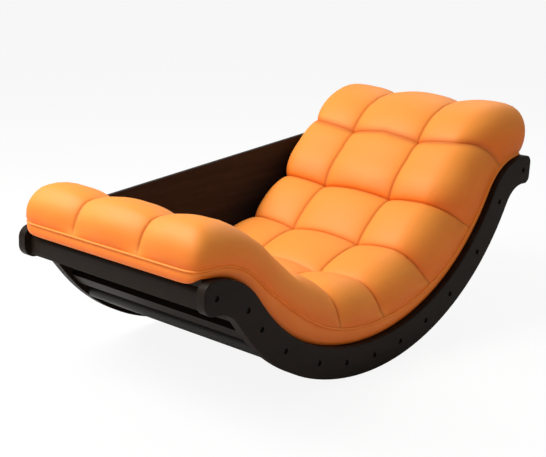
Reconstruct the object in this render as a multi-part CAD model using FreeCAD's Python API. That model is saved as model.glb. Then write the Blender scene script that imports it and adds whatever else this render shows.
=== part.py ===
import FreeCAD, Part
import math
import os

from FreeCAD import Vector

# Rocking chaise lounge: two S-curved side rails carry a bent deck on cross rails, and a tufted
# cushion lies on top. Units are millimetres. +X is the sitter's left, the foot end is at -Y and
# the head end at +Y. The origin is midway between the rails, where they touch the floor.

FRAME_WIDTH = 750.0
RAIL_THICKNESS = 30.0
RAIL_DEPTH = 88.0
EDGE_CHAMFER = 2.5

# The rail's centre line, from its lowest point to each end.
ROCKER_RADIUS = 700.0
FOOT_ROCKER_ANGLE = 20.0
FOOT_RISE_RADIUS = 530.0
FOOT_RISE_ANGLE = 54.0
FOOT_RISE_LENGTH = 40.0
FOOT_SCROLL_RADIUS = 134.0
FOOT_SCROLL_ANGLE = 3.0
FOOT_SCROLL_LENGTH = 42.0
FOOT_NOSE_RADIUS = 34.0
HEAD_ROCKER_ANGLE = 57.0
HEAD_RISE_LENGTH = 30.0
HEAD_SCROLL_RADIUS = 142.0
HEAD_SCROLL_ANGLE = 5.0
HEAD_SCROLL_LENGTH = 28.0
HEAD_NOSE_RADIUS = 22.0

# Deck and cross rails. A station is a distance along the centre line from its lowest point.
DECK_THICKNESS = 20.0
DECK_SETBACK = 16.0
CROSS_RAIL_HEIGHT = 58.0
CROSS_RAIL_WIDTH = 40.0
FRONT_RAIL_ROUND = 18.0
CROSS_RAIL_STATIONS = [-722, -598, -520, -400, -250, -132, -10, 108, 233, 362, 533, 709, 868]
DECK_SCREW_RAILS = [0, 4, 8, 12]
DECK_SCREW_INSET = 150.0

# Connector bolts, driven through each side rail into the ends of the cross rails.
BOLT_RADIUS = 3.5
BOLT_REACH = 45.0
BOLT_HEAD_RADIUS = 7.0
BOLT_HEAD_LENGTH = 4.0
COUNTERBORE_RADIUS = 8.0
COUNTERBORE_DEPTH = 9.0
COUNTERBORE_SIDES = 12
FASTENER_SIDES = 6

# Wood screws.
SCREW_RADIUS = 2.0
SCREW_HEAD_RADIUS = 4.0
SCREW_HEAD_HEIGHT = 3.0
SCREW_LENGTH = 40.0
SCREW_SINK = 1.0

# Stretcher under the foot end: a steel tube whose plugged ends are turned down to a spigot.
STRETCHER_RADIUS = 22.0
STRETCHER_WALL = 3.0
STRETCHER_PLUG_LENGTH = 15.0
STRETCHER_STATION = -446.0
STRETCHER_EDGE_INSET = 1.0
SPIGOT_RADIUS = 12.5
SPIGOT_LENGTH = 16.0

# Side panel on the -X rail, its straight top running from scroll to scroll.
PANEL_THICKNESS = 12.0
PANEL_FOOT_STATION = -700.0
PANEL_FOOT_HEIGHT = 18.0
PANEL_HEAD_STATION = 842.0
PANEL_HEAD_HEIGHT = 20.0
DOWEL_RADIUS = 3.0
DOWEL_LENGTH = 40.0
DOWEL_SPACING = 170.0
DOWEL_COUNT = 6
BATTEN_WIDTH = 60.0
BATTEN_THICKNESS = 18.0
BATTEN_FLOOR_GAP = 24.0
BATTEN_TOP_INSET = 40.0
BATTEN_SCREW_DROP = 46.0
BATTEN_SCREW_PITCH = 150.0
BATTEN_SCREW_LENGTH = 26.0
BATTEN_RAIL_SCREW_PITCH = 44.0

# Cushion. Its boxed base lies on the deck and on the rails' top edges, inboard of the panel.
CUSHION_SIDE_INSET = 14.0
CUSHION_REST_GAP = 0.3
CUSHION_FOOT_OVERHANG = 8.0
CUSHION_HEAD_SETBACK = 2.0
HEM_THICKNESS = 20.0
HEM_DROP = 18.0
BOXING_HEIGHT = 32.0
BOXING_WALL = 3.0
CORNER_RADIUS = 45.0
COLUMN_SEAM_OFFSET = 130.0
ROW_SEAM_STATIONS = [-644, -445, -190, 30, 280, 545, 757]
OUTSIDE_SECTIONS = 4
INSIDE_SECTIONS = 3
QUILT_THICKNESS = 12.0

# The crown is the tufts' highest level over the boxing's seam: (station, height) pairs.
CROWN = [(-780, 98), (-600, 108), (-400, 138), (-150, 126), (0, 124), (400, 150), (700, 158), (900, 146)]
ROW_SEAM_DIP = 20.0
COLUMN_SEAM_DIP = 18.0
JUNCTION_DIP = 38.0
SHOULDER_RADIUS = 52.0
SHOULDER_DIP = 8.0
SHOULDER_SHARE = 0.8
END_FACE_HEIGHT = 26.0
END_SEAM_DIP = 4.0
END_ROUND = 110.0
END_SHARES = [0.0, 0.1, 0.35, 1.0]
BACK_TRIM = 3.0
TRIM_MARGIN = 5.0

HALF_DEPTH = RAIL_DEPTH / 2
INNER_X = FRAME_WIDTH / 2 - RAIL_THICKNESS
OUTER_X = FRAME_WIDTH / 2
BASE_LEVEL = HALF_DEPTH + CUSHION_REST_GAP
SEAM_LEVEL = BASE_LEVEL + BOXING_HEIGHT
CUSHION_HALF_WIDTH = OUTER_X - CUSHION_SIDE_INSET


def advance(state, bend, length):
    """Move along a run of constant bend (1/radius, positive turning upwards) from (y, z, heading)."""
    y, z, heading = state
    if bend == 0:
        return y + length * math.cos(heading), z + length * math.sin(heading), heading
    turned = heading + bend * length
    y += (math.sin(turned) - math.sin(heading)) / bend
    z += (math.cos(heading) - math.cos(turned)) / bend
    return y, z, turned


def centre_line():
    """The S-curve as a list of runs (first station, last station, state at the first, bend)."""
    foot = [
        (1 / ROCKER_RADIUS, ROCKER_RADIUS * math.radians(FOOT_ROCKER_ANGLE)),
        (1 / FOOT_RISE_RADIUS, FOOT_RISE_RADIUS * math.radians(FOOT_RISE_ANGLE - FOOT_ROCKER_ANGLE)),
        (0, FOOT_RISE_LENGTH),
        (-1 / FOOT_SCROLL_RADIUS, FOOT_SCROLL_RADIUS * math.radians(FOOT_RISE_ANGLE - FOOT_SCROLL_ANGLE)),
        (0, FOOT_SCROLL_LENGTH),
    ]
    head = [
        (1 / ROCKER_RADIUS, ROCKER_RADIUS * math.radians(HEAD_ROCKER_ANGLE)),
        (0, HEAD_RISE_LENGTH),
        (-1 / HEAD_SCROLL_RADIUS, HEAD_SCROLL_RADIUS * math.radians(HEAD_ROCKER_ANGLE + HEAD_SCROLL_ANGLE)),
        (0, HEAD_SCROLL_LENGTH),
    ]
    lowest = (0.0, HALF_DEPTH, 0.0)
    runs = []
    state, station = lowest, 0.0
    for bend, length in foot:
        state = advance(state, bend, -length)
        runs.insert(0, (station - length, station, state, bend))
        station -= length
    state, station = lowest, 0.0
    for bend, length in head:
        runs.append((station, station + length, state, bend))
        state = advance(state, bend, length)
        station += length
    return runs


RUNS = centre_line()
FOOT_END = RUNS[0][0]
HEAD_END = RUNS[-1][1]


def run_at(station):
    """The run that holds a station, or the end run that is carried on past its end."""
    for run in RUNS:
        if station <= run[1]:
            return run
    return RUNS[-1]


def heading_at(station):
    first, last, state, bend = run_at(station)
    return state[2] + bend * (station - first)


def point_at(station, level, x=0.0):
    """The point at a station, raised by a level square to the curve."""
    first, last, state, bend = run_at(station)
    y, z, heading = advance(state, bend, station - first)
    return Vector(x, y - level * math.sin(heading), z + level * math.cos(heading))


def normal_at(station):
    heading = heading_at(station)
    return Vector(0, -math.sin(heading), math.cos(heading))


def curve_edges(start, end, level, x=0.0):
    """Edges of the curve at a level, from the start station to the end station."""
    cuts = [start] + [run[0] for run in RUNS[1:] if start < run[0] < end] + [end]
    edges = []
    for a, b in zip(cuts, cuts[1:]):
        middle = (a + b) / 2
        p, q = point_at(a, level, x), point_at(b, level, x)
        if run_at(middle)[3] == 0:
            edges.append(Part.LineSegment(p, q).toShape())
        else:
            edges.append(Part.Arc(p, point_at(middle, level, x), q).toShape())
    return edges


def ribbon(start, end, low, high, x0, x1):
    """A slab that follows the curve between two stations, two levels and two widths."""
    bottom = curve_edges(start, end, low, x0)
    top = curve_edges(start, end, high, x0)
    ends = [
        Part.LineSegment(point_at(end, low, x0), point_at(end, high, x0)).toShape(),
        Part.LineSegment(point_at(start, high, x0), point_at(start, low, x0)).toShape(),
    ]
    wire = Part.Wire(Part.__sortEdges__(bottom + [ends[0]] + top + [ends[1]]))
    return Part.Face(wire).extrude(Vector(x1 - x0, 0, 0))


def edges_near(shape, points, reach=0.5):
    """The edges of a shape whose middle lies at one of the points."""
    found = []
    for edge in shape.Edges:
        middle = edge.valueAt((edge.FirstParameter + edge.LastParameter) / 2)
        if any(middle.distanceToPoint(p) < reach for p in points):
            found.append(edge)
    return found


def side_rail_blank(side):
    """One plank with rounded noses and eased edges, before it is drilled. side is -1 or +1."""
    x0, x1 = sorted((side * INNER_X, side * OUTER_X))
    plank = ribbon(FOOT_END, HEAD_END, -HALF_DEPTH, HALF_DEPTH, x0, x1)
    middle = (x0 + x1) / 2
    for station, radius in ((FOOT_END, FOOT_NOSE_RADIUS), (HEAD_END, HEAD_NOSE_RADIUS)):
        corners = [point_at(station, level, middle) for level in (-HALF_DEPTH, HALF_DEPTH)]
        plank = plank.makeFillet(radius, edges_near(plank, corners))
    outline = [e for e in plank.Edges if abs(e.CenterOfMass.x - side * OUTER_X) < 0.01]
    return plank.makeChamfer(EDGE_CHAMFER, outline)


def stretcher_centre():
    level = -HALF_DEPTH + STRETCHER_RADIUS + STRETCHER_EDGE_INSET
    return point_at(STRETCHER_STATION, level)


def flat_sided_bar(radius, length, start, axis, sides=FASTENER_SIDES):
    """A bar with flat sides. Fasteners, dowels and bolt holes are drawn so to keep the part light."""
    across = Vector(0, 1, 0) if abs(axis.x) > 0.5 else Vector(1, 0, 0)
    upward = axis.cross(across)
    corners = []
    for i in range(sides + 1):
        angle = 2 * math.pi * i / sides
        corners.append(start + across * (radius * math.cos(angle)) + upward * (radius * math.sin(angle)))
    return Part.Face(Part.makePolygon(corners)).extrude(axis * length)


def bolt_shank(side, station):
    """The bolt's shank, which is also the hole that it fills."""
    seat = point_at(station, 0, side * (OUTER_X - COUNTERBORE_DEPTH))
    length = RAIL_THICKNESS - COUNTERBORE_DEPTH + BOLT_REACH
    return flat_sided_bar(BOLT_RADIUS, length, seat, Vector(-side, 0, 0))


def bolt(side, station):
    """A connector bolt whose hexagon head lies at the bottom of its counterbore."""
    seat = point_at(station, 0, side * (OUTER_X - COUNTERBORE_DEPTH))
    head = flat_sided_bar(BOLT_HEAD_RADIUS, BOLT_HEAD_LENGTH, seat, Vector(side, 0, 0))
    return bolt_shank(side, station).fuse(head)


def counterbore(side, station):
    mouth = point_at(station, 0, side * OUTER_X)
    inward = Vector(-side, 0, 0)
    return flat_sided_bar(COUNTERBORE_RADIUS, COUNTERBORE_DEPTH, mouth, inward, COUNTERBORE_SIDES)


def wood_screw(face_point, axis, length):
    """A sunk screw with its flat face at a point, driven along an axis."""
    head = flat_sided_bar(SCREW_HEAD_RADIUS, SCREW_HEAD_HEIGHT, face_point, axis)
    neck = face_point + axis * SCREW_HEAD_HEIGHT
    return head.fuse(flat_sided_bar(SCREW_RADIUS, length - SCREW_HEAD_HEIGHT, neck, axis))


def deck_screw_seat(station, side):
    """Where a deck screw's face lies, a little under the deck's own face, and its direction."""
    down = normal_at(station) * -1
    return point_at(station, HALF_DEPTH - SCREW_SINK, side * (INNER_X - DECK_SCREW_INSET)), down


def screw_mouth(face_point, axis):
    """The shallow mouth left over a sunk screw."""
    return flat_sided_bar(SCREW_HEAD_RADIUS, 2 * SCREW_SINK, face_point, axis * -1)


def panel_line(y):
    """Height of the side panel's straight top edge."""
    foot = point_at(PANEL_FOOT_STATION, HALF_DEPTH)
    head = point_at(PANEL_HEAD_STATION, HALF_DEPTH)
    foot_z, head_z = foot.z + PANEL_FOOT_HEIGHT, head.z + PANEL_HEAD_HEIGHT
    return foot_z + (head_z - foot_z) * (y - foot.y) / (head.y - foot.y)


def side_panel_blank():
    """A board that stands on the -X rail's top edge, flush with the rail's outer face."""
    bottom = curve_edges(PANEL_FOOT_STATION, PANEL_HEAD_STATION, HALF_DEPTH, -OUTER_X)
    foot = point_at(PANEL_FOOT_STATION, HALF_DEPTH, -OUTER_X)
    head = point_at(PANEL_HEAD_STATION, HALF_DEPTH, -OUTER_X)
    foot_top = Vector(-OUTER_X, foot.y, panel_line(foot.y))
    head_top = Vector(-OUTER_X, head.y, panel_line(head.y))
    outline = bottom + [
        Part.LineSegment(head, head_top).toShape(),
        Part.LineSegment(head_top, foot_top).toShape(),
        Part.LineSegment(foot_top, foot).toShape(),
    ]
    face = Part.Face(Part.Wire(Part.__sortEdges__(outline)))
    return face.extrude(Vector(PANEL_THICKNESS, 0, 0))


def panel_dowels():
    """Upright dowels, half in the rail and half in the panel."""
    dowels = []
    for i in range(DOWEL_COUNT):
        station = (i - (DOWEL_COUNT - 1) / 2) * DOWEL_SPACING
        foot = point_at(station, HALF_DEPTH, -OUTER_X + PANEL_THICKNESS / 2)
        foot.z -= DOWEL_LENGTH / 2
        dowels.append(flat_sided_bar(DOWEL_RADIUS, DOWEL_LENGTH, foot, Vector(0, 0, 1)))
    return dowels


def batten_top():
    return panel_line(0) - BATTEN_TOP_INSET


def batten_blank():
    corner = Vector(-OUTER_X - BATTEN_THICKNESS, -BATTEN_WIDTH / 2, BATTEN_FLOOR_GAP)
    return Part.makeBox(BATTEN_THICKNESS, BATTEN_WIDTH, batten_top() - BATTEN_FLOOR_GAP, corner)


def panel_screw_seats():
    """Two screws, one above the other, through the panel into the batten."""
    x = -OUTER_X + PANEL_THICKNESS - SCREW_SINK
    top = batten_top() - BATTEN_SCREW_DROP
    return [(Vector(x, 0, top - i * BATTEN_SCREW_PITCH), Vector(-1, 0, 0)) for i in range(2)]


def batten_screw_seats():
    """Two screws, side by side, through the batten into the rail."""
    x = -OUTER_X - BATTEN_THICKNESS + SCREW_SINK
    y = BATTEN_RAIL_SCREW_PITCH / 2
    return [(Vector(x, side * y, HALF_DEPTH), Vector(1, 0, 0)) for side in (-1, 1)]


CUSHION_START = FOOT_END - CUSHION_FOOT_OVERHANG
CUSHION_END = HEAD_END - CUSHION_HEAD_SETBACK
DECK_START = FOOT_END + DECK_SETBACK
DECK_END = HEAD_END - DECK_SETBACK


def cushion_slab(inset, low, high):
    """A slab with rounded corners in plan, drawn in on all four sides."""
    start, end = CUSHION_START + inset, CUSHION_END - inset
    half = CUSHION_HALF_WIDTH - inset
    slab = ribbon(start, end, low, high, -half, half)
    middle = (low + high) / 2
    corners = [point_at(s, middle, x) for s in (start, end) for x in (-half, half)]
    return slab.makeFillet(CORNER_RADIUS - inset, edges_near(slab, corners))


def front_hem():
    """The boxing's front edge, which hangs over the deck's end between the side rails."""
    low = BASE_LEVEL - HEM_DROP
    half = INNER_X - CUSHION_REST_GAP
    end = min(CUSHION_START + HEM_THICKNESS, DECK_START - CUSHION_REST_GAP)
    return ribbon(CUSHION_START, end, low, BASE_LEVEL, -half, half)


def corner_draw(distance, radius):
    """How far a side is drawn in at a distance from its end, by a rounded corner."""
    if distance >= radius:
        return 0.0
    return radius - math.sqrt(radius ** 2 - (radius - distance) ** 2)


def crown_at(station):
    """The crown's height at a station, between the two nearest pairs of CROWN."""
    if station <= CROWN[0][0]:
        return CROWN[0][1]
    for (a, low), (b, high) in zip(CROWN, CROWN[1:]):
        if station <= b:
            return low + (high - low) * (station - a) / (b - a)
    return CROWN[-1][1]


def bowed(first, middle, last, plain):
    """An arc through three points, or two straight edges where the shape is plain."""
    if plain:
        return [Part.LineSegment(first, middle).toShape(), Part.LineSegment(middle, last).toShape()]
    return [Part.Arc(first, middle, last).toShape()]


def tuft_section(station, middle_height, seam_height, half, full_radius, plain):
    """The pillow top cut square across: flat back, upright sides, round shoulders, three crowns."""
    shoulder_height = middle_height - SHOULDER_DIP
    radius = min(full_radius, SHOULDER_SHARE * shoulder_height)
    shoulder_x = half - radius
    round_draw = radius * (1 - math.sqrt(0.5))
    column_x = (shoulder_x + COLUMN_SEAM_OFFSET) / 2

    def at(x, height):
        return point_at(station, SEAM_LEVEL + height, x)

    def side(sign):
        """One side's upright and shoulder, from the back to the outer column."""
        foot = at(sign * half, -BACK_TRIM)
        head = at(sign * half, shoulder_height - radius)
        bend = at(sign * (half - round_draw), shoulder_height - round_draw)
        shoulder = at(sign * shoulder_x, shoulder_height)
        crown = at(sign * column_x, middle_height)
        seam = at(sign * COLUMN_SEAM_OFFSET, seam_height)
        upright = Part.LineSegment(foot, head).toShape()
        edges = [upright] + bowed(head, bend, shoulder, plain) + bowed(shoulder, crown, seam, plain)
        return foot, seam, edges

    right_foot, right_seam, right = side(1)
    left_foot, left_seam, left = side(-1)
    back = Part.LineSegment(left_foot, right_foot).toShape()
    middle = bowed(right_seam, at(0, middle_height), left_seam, plain)
    return Part.Wire([back] + right + middle + left[::-1])


def end_rise(distance):
    """Share of the crown reached at a distance from the cushion's end: a quarter of an ellipse."""
    if distance >= END_ROUND:
        return 1.0
    return math.sqrt(1 - (1 - distance / END_ROUND) ** 2)


def crowned_section(station, fullness, inset):
    """One section of a tuft row. fullness is 0 at a sewn seam and 1 at the row's crown."""
    crown = crown_at(station) - inset
    middle = crown - ROW_SEAM_DIP * (1 - fullness)
    seam = crown - COLUMN_SEAM_DIP * fullness - JUNCTION_DIP * (1 - fullness)
    distance = min(station - CUSHION_START, CUSHION_END - station) - inset
    rise = end_rise(distance)
    face = END_FACE_HEIGHT - inset
    middle = face + (middle - face) * rise
    seam = face + (seam - face) * rise - END_SEAM_DIP * (1 - rise)
    half = CUSHION_HALF_WIDTH - inset - corner_draw(distance, CORNER_RADIUS - inset)
    return tuft_section(station, middle, seam, half, SHOULDER_RADIUS - inset, inset > 0)


def tuft_row(start, end, inset, count):
    """One row of three tufts, lofted between its two seams."""
    sections = []
    for i in range(count):
        t = i / (count - 1)
        sections.append(crowned_section(start + t * (end - start), math.sin(math.pi * t), inset))
    return Part.makeLoft(sections, True, True)


def end_row(end, seam, inset, count):
    """A row that rounds down from its seam to the cushion's end face."""
    inward = 1 if seam > end else -1
    crest = end + inward * END_ROUND
    sections = [crowned_section(end + inward * t * END_ROUND, 1.0, inset) for t in END_SHARES]
    for i in range(1, count):
        t = i / (count - 1)
        fullness = math.cos(math.pi / 2 * t)
        sections.append(crowned_section(crest + t * (seam - crest), fullness, inset))
    return Part.makeLoft(sections[::inward], True, True)


def pillow(inset, count):
    """The tufted top as a solid, drawn in on all sides and trimmed to the boxed base."""
    start, end = CUSHION_START + inset, CUSHION_END - inset
    rows = [end_row(start, ROW_SEAM_STATIONS[0], inset, count)]
    for first, last in zip(ROW_SEAM_STATIONS, ROW_SEAM_STATIONS[1:]):
        rows.append(tuft_row(first, last, inset, count))
    rows.append(end_row(end, ROW_SEAM_STATIONS[-1], inset, count))
    under = ribbon(start - TRIM_MARGIN, end + TRIM_MARGIN, BASE_LEVEL, SEAM_LEVEL, -OUTER_X, OUTER_X)
    trimmed = [row.cut(under) for row in rows]
    return trimmed[0].multiFuse(trimmed[1:])


def cross_rail_blank(index):
    """A bar square to the curve. The first one's upper front edge shows, and is rounded over."""
    top = HALF_DEPTH - DECK_THICKNESS
    start = CROSS_RAIL_STATIONS[index] - CROSS_RAIL_WIDTH / 2
    end = start + CROSS_RAIL_WIDTH
    bar = ribbon(start, end, top - CROSS_RAIL_HEIGHT, top, -INNER_X, INNER_X)
    if index == 0:
        bar = bar.makeFillet(FRONT_RAIL_ROUND, edges_near(bar, [point_at(start, top)]))
    return bar


def stretcher_rod(radius, reach):
    """A rod along X on the stretcher's axis, reaching equally far to both sides."""
    start = stretcher_centre() - Vector(reach, 0, 0)
    return Part.makeCylinder(radius, 2 * reach, start, Vector(1, 0, 0))


def build():
    """Every sub-part, by name."""
    sides = {"right": -1, "left": 1}
    spigots = stretcher_rod(SPIGOT_RADIUS, INNER_X + SPIGOT_LENGTH)
    tube = stretcher_rod(STRETCHER_RADIUS, INNER_X).fuse(spigots)
    bore = stretcher_rod(STRETCHER_RADIUS - STRETCHER_WALL, INNER_X - STRETCHER_PLUG_LENGTH)
    dowels = panel_dowels()
    panel_screws = [wood_screw(p, axis, BATTEN_SCREW_LENGTH) for p, axis in panel_screw_seats()]
    rail_screws = [wood_screw(p, axis, SCREW_LENGTH) for p, axis in batten_screw_seats()]
    panel_mouths = [screw_mouth(p, axis) for p, axis in panel_screw_seats()]
    batten_mouths = [screw_mouth(p, axis) for p, axis in batten_screw_seats()]

    parts = {}
    for name, side in sides.items():
        cuts = [spigots]
        for station in CROSS_RAIL_STATIONS:
            cuts += [counterbore(side, station), bolt_shank(side, station)]
        if side < 0:
            cuts += dowels + rail_screws
        parts[f"{name}_side_rail"] = side_rail_blank(side).cut(cuts)
        bolts = [bolt(side, station) for station in CROSS_RAIL_STATIONS]
        parts[f"{name}_connector_bolts"] = Part.makeCompound(bolts)

    deck_cuts, deck_screws = [], []
    for index, station in enumerate(CROSS_RAIL_STATIONS):
        bar_cuts = [bolt_shank(side, station) for side in sides.values()]
        if index in DECK_SCREW_RAILS:
            for side in sides.values():
                seat, down = deck_screw_seat(station, side)
                screw = wood_screw(seat, down, SCREW_LENGTH)
                deck_screws.append(screw)
                deck_cuts += [screw, screw_mouth(seat, down)]
                bar_cuts.append(screw)
        parts[f"cross_rail_{index + 1:02d}"] = cross_rail_blank(index).cut(bar_cuts)
    deck = ribbon(DECK_START, DECK_END, HALF_DEPTH - DECK_THICKNESS, HALF_DEPTH, -INNER_X, INNER_X)
    parts["bent_deck"] = deck.cut(deck_cuts)
    parts["deck_screws"] = Part.makeCompound(deck_screws)
    parts["foot_stretcher"] = tube.cut(bore)

    parts["side_panel"] = side_panel_blank().cut(dowels + panel_screws + panel_mouths)
    parts["panel_dowels"] = Part.makeCompound(dowels)
    parts["panel_batten"] = batten_blank().cut(panel_screws + rail_screws + batten_mouths)
    parts["batten_screws"] = Part.makeCompound(panel_screws + rail_screws)

    foam = cushion_slab(BOXING_WALL, BASE_LEVEL + BOXING_WALL, SEAM_LEVEL)
    parts["cushion_foam"] = foam
    parts["cushion_boxing"] = cushion_slab(0, BASE_LEVEL, SEAM_LEVEL).fuse(front_hem()).cut(foam)
    quilt_inside = pillow(QUILT_THICKNESS, INSIDE_SECTIONS)
    parts["cushion_top"] = pillow(0, OUTSIDE_SECTIONS).cut(quilt_inside)
    return parts


os.makedirs("parts", exist_ok=True)
for name, shape in build().items():
    shape.exportStep(f"parts/{name}.step")
    print(f"{name}: {len(shape.Solids)} solid(s), {shape.Volume / 1000:.1f} cm3, valid {shape.isValid()}")
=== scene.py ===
import math

import bmesh
import bpy
import numpy as np
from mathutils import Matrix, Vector


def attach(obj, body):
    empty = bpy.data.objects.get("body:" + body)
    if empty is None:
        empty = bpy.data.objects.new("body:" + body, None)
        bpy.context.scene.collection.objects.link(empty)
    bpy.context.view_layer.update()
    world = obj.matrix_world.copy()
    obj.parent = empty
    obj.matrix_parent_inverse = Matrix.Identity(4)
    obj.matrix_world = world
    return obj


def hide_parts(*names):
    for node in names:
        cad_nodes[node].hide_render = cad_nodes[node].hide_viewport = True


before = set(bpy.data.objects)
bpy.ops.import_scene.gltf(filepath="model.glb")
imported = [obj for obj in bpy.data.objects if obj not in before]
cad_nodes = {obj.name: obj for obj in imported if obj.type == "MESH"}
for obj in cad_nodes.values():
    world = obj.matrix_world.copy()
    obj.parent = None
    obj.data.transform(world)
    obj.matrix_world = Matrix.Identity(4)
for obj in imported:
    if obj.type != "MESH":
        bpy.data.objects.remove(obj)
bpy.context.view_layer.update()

# The photographer's set: a 76 mm lens low on the sitter's left, at the foot end, looks along the
# lounge towards its head. A pale floor runs out to a white background, and big soft lamps hang
# above the foot end, so that upward faces are the lightest.
PHOTO_WIDTH = 546
FOCAL_LENGTH_IN_PIXELS = 1150
camera_data = bpy.data.cameras.new("camera")
camera_data.sensor_width = 36.0
camera_data.lens = FOCAL_LENGTH_IN_PIXELS / PHOTO_WIDTH * camera_data.sensor_width
camera = bpy.data.objects.new("camera", camera_data)
bpy.context.collection.objects.link(camera)
camera.location = (2.2309, -2.3858, 1.2453)
camera.rotation_euler = Vector((-0.662, 0.700, -0.268)).to_track_quat("-Z", "Y").to_euler()
bpy.context.scene.camera = camera
bpy.context.scene.view_settings.view_transform = "Standard"


def linear(code):
    """A linear colour from an sRGB hex code."""
    channels = [int(code[i : i + 2], 16) / 255 for i in (1, 3, 5)]
    return [c / 12.92 if c <= 0.04045 else ((c + 0.055) / 1.055) ** 2.4 for c in channels] + [1.0]


def add_node(tree, kind, settings=None, **inputs):
    """Adds a node. An input is named, or numbered as _0, _1. It takes a value or another output."""
    node = tree.nodes.new(kind)
    for name, value in (settings or {}).items():
        setattr(node, name, value)
    for name, value in inputs.items():
        key = int(name[1:]) if name[0] == "_" and name[1:].isdigit() else name.replace("_", " ")
        if isinstance(value, bpy.types.NodeSocket):
            tree.links.new(value, node.inputs[key])
        else:
            node.inputs[key].default_value = value
    return node


def noise(tree, vector, **inputs):
    """The factor of a noise texture."""
    return add_node(tree, "ShaderNodeTexNoise", Vector=vector, **inputs).outputs["Fac"]


def ramp(tree, factor, *stops):
    """A colour ramp with (position, hex code) stops."""
    node = add_node(tree, "ShaderNodeValToRGB", Fac=factor)
    while len(node.color_ramp.elements) < len(stops):
        node.color_ramp.elements.new(1.0)
    for element, (position, code) in zip(node.color_ramp.elements, stops):
        element.position = position
        element.color = linear(code)
    return node.outputs["Color"]


def new_material(name):
    """A new node material, its tree and the object coordinates in that tree."""
    material = bpy.data.materials.new(name)
    material.use_nodes = True
    tree = material.node_tree
    tree.nodes.clear()
    return material, tree, add_node(tree, "ShaderNodeTexCoord").outputs["Object"]


def finish_material(tree, **inputs):
    """Ends a material with one shader for its whole surface."""
    shader = add_node(tree, "ShaderNodeBsdfPrincipled", **inputs)
    add_node(tree, "ShaderNodeOutputMaterial", Surface=shader.outputs[0])


def coat(material, *names):
    """Gives CAD nodes their only material."""
    for name in names:
        cad_nodes[name].data.materials.clear()
        cad_nodes[name].data.materials.append(material)


# The floor lies half a millimetre under the rockers. Only the camera sees its glow, which bleaches
# it nearly to the photo's white and leaves a faint shadow.
FLOOR_GLOW = 0.9
bpy.ops.object.select_all(action="DESELECT")
bpy.ops.mesh.primitive_plane_add(size=30.0, location=(0, 0, -0.0005))
floor = bpy.context.object
floor.name = "floor"
floor_paint, tree, _ = new_material("matt_white_floor_paint")
paint = add_node(tree, "ShaderNodeBsdfDiffuse", Color=linear("#F4F4F2"))
glow = add_node(tree, "ShaderNodeEmission", Color=linear("#FFFFFF"), Strength=1.0)
seen = add_node(tree, "ShaderNodeLightPath").outputs["Is Camera Ray"]
share = add_node(tree, "ShaderNodeMath", {"operation": "MULTIPLY"}, _0=seen, _1=FLOOR_GLOW)
mixed = add_node(
    tree, "ShaderNodeMixShader", Fac=share.outputs[0], _1=paint.outputs[0], _2=glow.outputs[0]
)
add_node(tree, "ShaderNodeOutputMaterial", Surface=mixed.outputs[0])
floor.data.materials.append(floor_paint)

# The air is white where the camera sees it, and dimmer as a light.
world = bpy.data.worlds.new("studio_air")
bpy.context.scene.world = world
world.use_nodes = True
tree = world.node_tree
tree.nodes.clear()
path = add_node(tree, "ShaderNodeLightPath")
seen = add_node(
    tree,
    "ShaderNodeMath",
    {"operation": "MAXIMUM"},
    _0=path.outputs["Is Camera Ray"],
    _1=path.outputs["Is Transmission Ray"],
)
air = add_node(tree, "ShaderNodeBackground", Color=linear("#FFFFFF"), Strength=0.31)
white = add_node(tree, "ShaderNodeBackground", Color=linear("#FFFFFF"), Strength=1.0)
mixed = add_node(
    tree, "ShaderNodeMixShader", Fac=seen.outputs[0], _1=air.outputs[0], _2=white.outputs[0]
)
add_node(tree, "ShaderNodeOutputWorld", Surface=mixed.outputs[0])


def softbox(name, place, aim, width, power):
    """A square area lamp that looks at a point."""
    data = bpy.data.lights.new(name, "AREA")
    data.shape = "SQUARE"
    data.size = width
    data.energy = power
    lamp = bpy.data.objects.new(name, data)
    bpy.context.collection.objects.link(lamp)
    lamp.location = place
    lamp.rotation_euler = (Vector(aim) - Vector(place)).to_track_quat("-Z", "Y").to_euler()


softbox("key_softbox", place=(-1.5, -1.8, 3.0), aim=(0, 0, 0.3), width=2.0, power=145)
softbox("fill_softbox", place=(2.6, -1.2, 1.9), aim=(0, 0, 0.3), width=1.8, power=4)
softbox("back_softbox", place=(-0.6, 2.4, 2.6), aim=(0, 0.3, 0.4), width=1.8, power=24)


# Side rails, deck and cross rails: beech, sawn and bent, stained nearly black and lacquered. The
# stain leaves the grain only just visible, and the lacquer a soft sheen. Their shapes come from
# the drawing and are joined by the bolts below.
def stained_wood(name, dark, light, roughness):
    """Stained wood whose grain runs along Y: threads 2 mm apart, broad bands 30 mm apart."""
    material, tree, coordinates = new_material(name)
    stretched = add_node(tree, "ShaderNodeMapping", Vector=coordinates, Scale=(1.0, 0.06, 1.0))
    threads = noise(tree, stretched.outputs[0], Scale=500.0, Detail=4.0, Roughness=0.6)
    bands = noise(tree, stretched.outputs[0], Scale=33.0, Detail=3.0)
    both = add_node(tree, "ShaderNodeMix", {"data_type": "FLOAT"}, _0=0.45, _2=bands, _3=threads)
    colour = ramp(tree, both.outputs[0], (0.3, dark), (0.7, light))
    gloss = add_node(
        tree, "ShaderNodeMapRange", Value=bands, To_Min=roughness, To_Max=roughness + 0.12
    )
    relief = add_node(tree, "ShaderNodeBump", Strength=0.25, Distance=0.0004, Height=threads)
    finish_material(
        tree,
        Base_Color=colour,
        Roughness=gloss.outputs[0],
        IOR=1.5,
        Specular_IOR_Level=0.12,
        Normal=relief.outputs[0],
    )
    return material


frame_wood = stained_wood("black_stained_beech", "#140C06", "#24180F", 0.48)
coat(frame_wood, "left_side_rail", "right_side_rail", "bent_deck")
coat(frame_wood, *[f"cross_rail_{number:02d}" for number in range(1, 14)])

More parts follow.
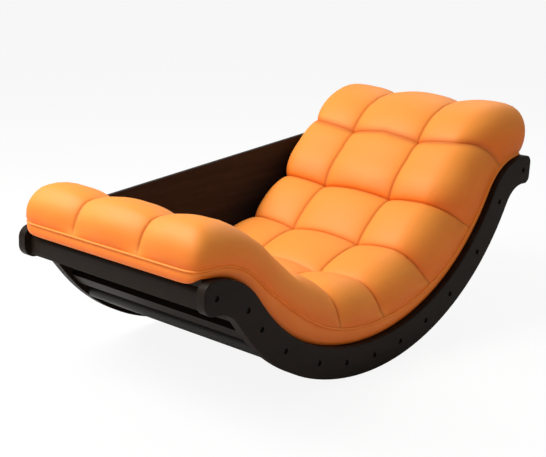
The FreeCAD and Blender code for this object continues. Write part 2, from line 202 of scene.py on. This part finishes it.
# Side panel and its outside batten: birch plywood, 12 mm and 18 mm, stained a browner black and
# lacquered on the face that the sitter sees. Bare beech dowels hold the panel on the rail.
panel_wood = stained_wood("brown_stained_plywood", "#1B1614", "#2F2826", 0.42)
coat(panel_wood, "side_panel", "panel_batten")
dowel_wood = stained_wood("bare_beech", "#B08A5E", "#CFAE84", 0.6)
coat(dowel_wood, "panel_dowels")

# Stretcher: a round steel tube under the foot end, plugged at both ends and held in the side
# rails by its spigots. It is painted black to match the wood, with a faint orange peel.
black_paint, tree, coordinates = new_material("black_painted_steel")
peel = noise(tree, coordinates, Scale=350.0, Detail=1.0)
dust = noise(tree, coordinates, Scale=14.0, Detail=3.0)
colour = ramp(tree, dust, (0.35, "#110D0A"), (0.7, "#1A1511"))
gloss = add_node(tree, "ShaderNodeMapRange", Value=dust, To_Min=0.38, To_Max=0.52)
relief = add_node(tree, "ShaderNodeBump", Strength=0.15, Distance=0.0003, Height=peel)
finish_material(
    tree,
    Base_Color=colour,
    Roughness=gloss.outputs[0],
    Specular_IOR_Level=0.2,
    Normal=relief.outputs[0],
)
coat(black_paint, "foot_stretcher")

# Connector bolts and wood screws: steel with a black oxide finish, which is dark and slightly
# satin. The bolts' heads lie at the bottom of their counterbores.
black_steel, tree, coordinates = new_material("black_oxide_steel")
grit = noise(tree, coordinates, Scale=900.0, Detail=2.0)
colour = ramp(tree, grit, (0.3, "#1C1C1D"), (0.7, "#2E2E30"))
gloss = add_node(tree, "ShaderNodeMapRange", Value=grit, To_Min=0.35, To_Max=0.5)
finish_material(tree, Base_Color=colour, Metallic=1.0, Roughness=gloss.outputs[0])
coat(black_steel, "left_connector_bolts", "right_connector_bolts", "deck_screws", "batten_screws")

# Cushion: one long mattress of foam and fibre fill in a brushed microfibre cover. It has a boxed
# edge, a sewn welt round its top, and 24 quilted tufts, three across and eight along. It lies
# loose on the deck and on the rails' top edges, and its front hem hangs over the deck's end.

# Its places are given along the side rails' curve: x across, the station along the rail's centre
# line from the lowest point, and the level square to that line. A run of the line is a bend, 1 / m,
# with the degrees it turns, or no bend and a length.
RAIL_HALF_DEPTH = 0.044
FOOT_RUNS = [(1 / 0.7, 20), (1 / 0.53, 34), (0, 0.04), (-1 / 0.134, 51), (0, 0.042)]
HEAD_RUNS = [(1 / 0.7, 57), (0, 0.03), (-1 / 0.142, 62), (0, 0.028)]
CUSHION_OVERHANG = 0.008
REST_GAP = 0.0003


def follow(state, bend, length):
    """Moves (y, z, heading) along a run of constant bend."""
    y, z, heading = state
    if bend == 0:
        return y + length * math.cos(heading), z + length * math.sin(heading), heading
    turned = heading + bend * length
    y += (math.sin(turned) - math.sin(heading)) / bend
    z += (math.cos(heading) - math.cos(turned)) / bend
    return y, z, turned


def rail_line():
    """The rail's centre line from foot to head, as (first station, last station, state, bend)."""
    line = []
    for direction, runs in ((-1, FOOT_RUNS), (1, HEAD_RUNS)):
        state, station = (0.0, RAIL_HALF_DEPTH, 0.0), 0.0
        for bend, amount in runs:
            length = direction * (abs(math.radians(amount) / bend) if bend else amount)
            after = follow(state, bend, length)
            if direction > 0:
                line.append((station, station + length, state, bend))
            else:
                line.insert(0, (station + length, station, after, bend))
            state, station = after, station + length
    return line


RAIL_LINE = rail_line()
CUSHION_START = RAIL_LINE[0][0] - CUSHION_OVERHANG
CUSHION_END = RAIL_LINE[-1][1] + CUSHION_OVERHANG


def on_curve(x, station, level):
    """The point at x, a station and a level."""
    first_station, _, state, bend = next((r for r in RAIL_LINE if station <= r[1]), RAIL_LINE[-1])
    y, z, heading = follow(state, bend, station - first_station)
    return Vector((x, y - level * math.sin(heading), z + level * math.cos(heading)))


# Levels as (station, level): the welt, the tufts' crowns, and where the side bulges furthest.
WELT = [
    (-0.77, 0.058), (-0.71, 0.07), (-0.63, 0.08), (-0.54, 0.1), (-0.4, 0.105), (-0.22, 0.09),
    (0, 0.084), (0.15, 0.079), (0.36, 0.066), (0.55, 0.061), (0.75, 0.05), (0.91, 0.047),
]
CROWN = [
    (-0.78, 0.174), (-0.65, 0.182), (-0.52, 0.199), (-0.4, 0.212), (-0.2, 0.21), (0.02, 0.214),
    (0.26, 0.224), (0.5, 0.238), (0.7, 0.230), (0.91, 0.216),
]
GIRTH = [
    (-0.77, 0.075), (-0.6, 0.1), (-0.4, 0.125), (0, 0.105), (0.5, 0.09), (0.8, 0.1), (0.91, 0.108),
]
# The rounds beside the flat of the top: how far they reach, how far they turn round to the welt,
# and how square they are (2 is a circle, more is squarer). PLAN_POWER squares the corners.
HALF_WIDTH = 0.361
SIDE_ROUND, FOOT_ROUND, HEAD_ROUND = 0.105, 0.115, 0.112
SIDE_TURN, FOOT_TURN, HEAD_TURN = (math.radians(a) for a in (112, 106, 140))
SIDE_POWER, END_POWER, PLAN_POWER = 2.1, 2.35, 4.6
# The seams: their stations, x, depths, and how far the row seams bow and climb towards the head.
ROW_SEAMS = [-0.644, -0.445, -0.19, 0.03, 0.28, 0.545, 0.757]
COLUMN_SEAM = 0.13
ROW_DEPTH, COLUMN_DEPTH = 0.029, 0.025
SEAM_BOW, SEAM_CLIMB = 0.003, 0.030
# The climb fades out over these lengths at the foot and the head, and over a fifth of the turn.
CLIMB_FOOT_FADE, CLIMB_HEAD_FADE, CLIMB_TURN_RATE = 0.2, 0.15, 5
# The foot end's side stays smooth: its row seams fade out early on the turn, below this station.
SMOOTH_SIDE_END, SMOOTH_SIDE_BLEND, SMOOTH_TURN_RATE = -0.3, 0.1, 2.2
# From a seam to the crown of the tuft beyond it, where that tuft has no second seam.
END_TUFT_SPAN, SIDE_TUFT_SPAN = 0.075, 0.115
SWELL_POWER = 0.62
ROUND_STEPS, TUFT_STEPS, EDGE_STEPS = 16, 20, 8


def level_at(pairs, station):
    """A level between (station, level) pairs, averaged over 100 mm so that no corner shows."""
    stations, levels = zip(*pairs)
    return float(np.mean(np.interp(station + np.linspace(-0.05, 0.05, 9), stations, levels)))


def smooth_share(value):
    """A share from 0 to 1 that starts and ends gently."""
    value = min(max(value, 0.0), 1.0)
    return value * value * (3 - 2 * value)


def between(first, last, steps, both_ends):
    """Places from first to last, closer together at both ends or only at the first."""
    places = []
    for k in range(steps + 1):
        share = k / steps
        if both_ends:
            eased = (1 - math.cos(math.pi * share)) / 2
        else:
            eased = 1 - math.cos(math.pi / 2 * share)
        places.append(first + (last - first) * eased)
    return places


def grid_lines(seams, low, high):
    """Grid lines across one direction as (place, turn): turn is -1 or +1 at the welt."""
    places = between(seams[0], low, EDGE_STEPS, both_ends=False)[:0:-1]
    for first, last in zip(seams, seams[1:]):
        places += between(first, last, TUFT_STEPS, both_ends=True)[:-1]
    places += between(seams[-1], high, EDGE_STEPS, both_ends=False)
    low_round = [(low, -1 + k / ROUND_STEPS) for k in range(ROUND_STEPS)]
    high_round = [(high, (k + 1) / ROUND_STEPS) for k in range(ROUND_STEPS)]
    return low_round + [(place, 0.0) for place in places] + high_round


def swell(distance, span):
    """A filled tuft's swell: 0 at its seam, 1 at its crown, and steepest beside the seam."""
    share = min(max(distance / span, 0.0), 1.0)
    return (1 - (1 - share) ** 2) ** SWELL_POWER


def row_swell(station):
    """The swell between row seams."""
    for first, last in zip(ROW_SEAMS, ROW_SEAMS[1:]):
        if first <= station <= last:
            return swell(min(station - first, last - station), (last - first) / 2)
    return swell(max(ROW_SEAMS[0] - station, station - ROW_SEAMS[-1]), END_TUFT_SPAN)


def column_swell(x):
    """The swell between column seams."""
    if abs(x) < COLUMN_SEAM:
        return swell(COLUMN_SEAM - abs(x), COLUMN_SEAM)
    return swell(abs(x) - COLUMN_SEAM, SIDE_TUFT_SPAN)


def shell_place(flat_x, side_turn, flat_station, end_turn):
    """(x, station, level) of a grid point before the seams pull it in, and the end's share."""
    side, end = abs(side_turn), abs(end_turn)
    outward = max(side, end)
    spread = (side ** PLAN_POWER + end ** PLAN_POWER) ** (1 / PLAN_POWER)
    end_share = end ** 3 / (side ** 3 + end ** 3) if outward else 0.0
    end_angle, end_round = (FOOT_TURN, FOOT_ROUND) if end_turn < 0 else (HEAD_TURN, HEAD_ROUND)
    full_turn = SIDE_TURN + (end_angle - SIDE_TURN) * end_share
    turn = outward * full_turn
    power = 2 / (SIDE_POWER + (END_POWER - SIDE_POWER) * end_share)
    reach = math.sin(turn) ** power / spread if outward else 0.0
    x = flat_x + SIDE_ROUND * reach * side_turn
    station = flat_station + end_round * reach * end_turn
    welt, girth, crown = (level_at(pairs, station) for pairs in (WELT, GIRTH, CROWN))
    if turn <= math.pi / 2:
        level = girth + (crown - girth) * math.cos(turn) ** power
    else:
        level = girth + (welt - girth) * (math.cos(turn) / math.cos(full_turn)) ** power
    return x, station, level, end_share


def seam_shift(x, station, side_turn, end_turn, end_share):
    """How far the row seams run towards the head: up the sides, and in a bow over each tuft."""
    across = min(abs(abs(x) - COLUMN_SEAM) / COLUMN_SEAM, 1.0)
    climb = SEAM_CLIMB * (1 - end_share) * smooth_share(abs(side_turn)) + SEAM_BOW * across ** 2
    free = smooth_share(CLIMB_TURN_RATE * (1 - abs(end_turn)))
    free *= smooth_share((station - CUSHION_START) / CLIMB_FOOT_FADE)
    return climb * free * smooth_share((CUSHION_END - station) / CLIMB_HEAD_FADE)


def seam_dip(x, station, side_turn, end_turn):
    """How deep the seams pull the shell in, which fades out towards the welt."""
    hold = 1 - max(abs(side_turn), abs(end_turn)) ** 5
    near_foot = smooth_share((SMOOTH_SIDE_END - station) / SMOOTH_SIDE_BLEND)
    row_hold = 1 - smooth_share(abs(side_turn) * SMOOTH_TURN_RATE) * near_foot
    rows = ROW_DEPTH * row_hold * (1 - row_swell(station))
    return hold * (rows + COLUMN_DEPTH * (1 - column_swell(x)))


FLAT_X = HALF_WIDTH - SIDE_ROUND
side_lines = grid_lines([-COLUMN_SEAM, COLUMN_SEAM], -FLAT_X, FLAT_X)
end_lines = grid_lines(ROW_SEAMS, CUSHION_START + FOOT_ROUND, CUSHION_END - HEAD_ROUND)
wide, long = len(side_lines), len(end_lines)
shape = np.zeros((long, wide, 3))
plan = np.zeros((long, wide, 2))
dips = np.zeros((long, wide))
for i, (flat_station, end_turn) in enumerate(end_lines):
    for j, (flat_x, side_turn) in enumerate(side_lines):
        x, station, level, end_share = shell_place(flat_x, side_turn, flat_station, end_turn)
        moved = station + seam_shift(x, station, side_turn, end_turn, end_share)
        shape[i, j] = on_curve(x, moved, level)
        plan[i, j] = x, moved
        dips[i, j] = seam_dip(x, station, side_turn, end_turn)
along, over = np.gradient(shape, axis=0), np.gradient(shape, axis=1)
outwards = np.cross(over, along)
outwards /= np.linalg.norm(outwards, axis=2, keepdims=True)
shape -= outwards * dips[..., None]

# The tufted top as faces. Each vertex keeps its distance from the nearest seam, which sets the
# painted crease shade in the cloth's colour.
mesh = bmesh.new()
seam_layer = mesh.verts.layers.float.new("seam")
NO_SEAM = 1.0
grid = [[mesh.verts.new(point) for point in row] for row in shape]
for row, places, (flat_station, end_turn) in zip(grid, plan, end_lines):
    for vertex, (x, station) in zip(row, places):
        distances = [abs(abs(x) - COLUMN_SEAM)]
        if not end_turn and (station > SMOOTH_SIDE_END - SMOOTH_SIDE_BLEND or abs(x) < FLAT_X):
            distances += [abs(flat_station - seam) for seam in ROW_SEAMS]
        vertex[seam_layer] = min(distances)
for lower, upper in zip(grid, grid[1:]):
    for a, b, c, d in zip(lower, lower[1:], upper[1:], upper):
        mesh.faces.new((a, b, c, d))

# The boxing under it, in rings from the welt down to the underside. It bulges a little, and tucks
# in at its lower edge. At the foot end it hangs 17 mm lower, over the deck's end.
BOXING_SHARES = (0.15, 0.4, 0.7, 0.92, 1.0)
BOXING_BULGE, BOXING_TUCK = 0.0035, 0.004
TUCK_START, TUCK_SHARE = 0.92, 0.08
HEM_DROP, HEM_STATION, HEM_BLEND = 0.017, -0.746, 0.022
# The end faces: half their width, the corner beside them, and their depths along the rail.
END_FACE_HALF_WIDTH, CORNER = 0.3, 0.05
FOOT_FACE_DEPTH, HEAD_FACE_DEPTH = 0.05, 0.08


def boxing_place(x, station, share):
    """The point at a share of the way from the welt down to the underside."""
    hem = HEM_DROP * smooth_share((HEM_STATION - station) / HEM_BLEND)
    welt, base = level_at(WELT, station), RAIL_HALF_DEPTH + REST_GAP - hem
    bulge = BOXING_BULGE * math.sin(math.pi * min(share, TUCK_START))
    bulge -= BOXING_TUCK * max(0.0, share - TUCK_START) / TUCK_SHARE
    away_x = bulge * np.clip((abs(x) - END_FACE_HALF_WIDTH) / CORNER, 0, 1) * np.sign(x)
    away_end = 0.0
    if station > CUSHION_END - HEAD_FACE_DEPTH:
        away_end = bulge
    elif station < CUSHION_START + FOOT_FACE_DEPTH:
        away_end = -bulge
    return on_curve(x + away_x, station + away_end, welt + (base - welt) * share)


rim = [(0, j) for j in range(wide - 1)] + [(i, wide - 1) for i in range(long - 1)]
rim += [(long - 1, j) for j in range(wide - 1, 0, -1)] + [(i, 0) for i in range(long - 1, 0, -1)]
welt_line = [Vector(shape[place]) for place in rim]
ring = [grid[i][j] for i, j in rim]
for share in BOXING_SHARES:
    inner = []
    for place in rim:
        inner.append(mesh.verts.new(boxing_place(*plan[place], share)))
        inner[-1][seam_layer] = NO_SEAM
    for a, b, c, d in zip(ring, ring[1:] + ring[:1], inner[1:] + inner[:1], inner):
        mesh.faces.new((d, c, b, a))
    ring = inner

# The underside, as strips from the lowest ring's right to its left.
front, left = ring[:wide], ring[wide - 1 : wide + long - 1]
back = ring[wide + long - 2 : 2 * wide + long - 2]
right = [ring[0]] + ring[: 2 * wide + long - 4 : -1]
mesh.faces.new(front[::-1] + [right[1], left[1]])
for i in range(1, long - 2):
    mesh.faces.new((right[i], right[i + 1], left[i + 1], left[i]))
mesh.faces.new(back + [right[-2], left[-2]])


def finish_mesh(mesh, name):
    """A smooth object from a bmesh, with its faces turned outwards."""
    bmesh.ops.recalc_face_normals(mesh, faces=mesh.faces)
    data = bpy.data.meshes.new(name)
    mesh.to_mesh(data)
    mesh.free()
    for polygon in data.polygons:
        polygon.use_smooth = True
    finished = bpy.data.objects.new(name, data)
    bpy.context.collection.objects.link(finished)
    return finished


cushion = finish_mesh(mesh, "tufted_cushion")

# Brushed microfibre: orange, with a nap that varies its tone at random. Its colour is painted paler
# on upward faces, a painted highlight where the lamps fall, and stays saturated on faces turned
# away. Within 8 mm of a quilting seam it is painted darker, a painted shade in the creases.
microfibre, tree, coordinates = new_material("brushed_microfibre")
nap = noise(tree, coordinates, Scale=9.0, Detail=3.0, Roughness=0.5)
fibres = noise(tree, coordinates, Scale=800.0, Detail=2.0)
normal = add_node(tree, "ShaderNodeNewGeometry").outputs["Normal"]
upward = add_node(tree, "ShaderNodeSeparateXYZ", Vector=normal).outputs["Z"]
# Painted top light: the ramp's place rises with how far the normal faces up, plus the nap's random
# tone.
painted_top_light_and_nap = add_node(
    tree, "ShaderNodeMath", {"operation": "MULTIPLY_ADD"}, _0=nap, _1=0.3, _2=upward
)
nap_tone_with_painted_top_light = ramp(tree, painted_top_light_and_nap.outputs[0], (0.1, "#EC7008"), (0.75, "#FA9636"))
seam_distance = add_node(tree, "ShaderNodeAttribute", {"attribute_name": "seam"}).outputs["Fac"]
# Painted crease shade: up to 45 % of the way to a dark orange at a seam, fading out 8 mm from it.
painted_crease_shade = add_node(
    tree, "ShaderNodeMapRange", Value=seam_distance, From_Max=0.008, To_Min=0.45, To_Max=0.0
)
colour = add_node(
    tree,
    "ShaderNodeMix",
    {"data_type": "RGBA"},
    _0=painted_crease_shade.outputs[0],
    _6=nap_tone_with_painted_top_light,
    _7=linear("#AC5008"),
)
relief = add_node(tree, "ShaderNodeBump", Strength=0.2, Distance=0.0005, Height=fibres)
finish_material(
    tree,
    Base_Color=colour.outputs[2],
    Roughness=0.58,
    Specular_IOR_Level=0.4,
    Sheen_Weight=0.05,
    Sheen_Roughness=0.4,
    Sheen_Tint=linear("#FFE0C0"),
    Normal=relief.outputs[0],
)
cushion.data.materials.append(microfibre)
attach(cushion, "cushion")
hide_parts("cushion_top", "cushion_boxing", "cushion_foam")

# Welt: a 7 mm cord in a bias strip of the same cloth, sewn into the seam between the tufted top
# and the boxing, all round. It stands a little way out of the seam.
WELT_RADIUS = 0.0035
WELT_STAND_OUT = 0.002
WELT_SIDES = 8
mesh = bmesh.new()
loops = []
for k, centre in enumerate(welt_line):
    run = (welt_line[(k + 1) % len(welt_line)] - welt_line[k - 1]).normalized()
    on_side = abs(centre.x) > END_FACE_HALF_WIDTH
    outward = Vector((centre.x, 0, 0)) if on_side else Vector((0, centre.y, 0))
    outward = (outward - outward.dot(run) * run).normalized()
    upward = outward.cross(run)
    middle = centre + outward * WELT_STAND_OUT
    loop = []
    for side in range(WELT_SIDES):
        angle = 2 * math.pi * side / WELT_SIDES
        spoke = math.cos(angle) * outward + math.sin(angle) * upward
        loop.append(mesh.verts.new(middle + WELT_RADIUS * spoke))
    loops.append(loop)
for first, second in zip(loops, loops[1:] + loops[:1]):
    for a, b, c, d in zip(first, first[1:] + first[:1], second[1:] + second[:1], second):
        mesh.faces.new((a, b, c, d))
welt = finish_mesh(mesh, "welt")
seam_attribute = welt.data.attributes.new("seam", "FLOAT", "POINT")
seam_attribute.data.foreach_set("value", [NO_SEAM] * len(welt.data.vertices))
welt.data.materials.append(microfibre)
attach(welt, "cushion")
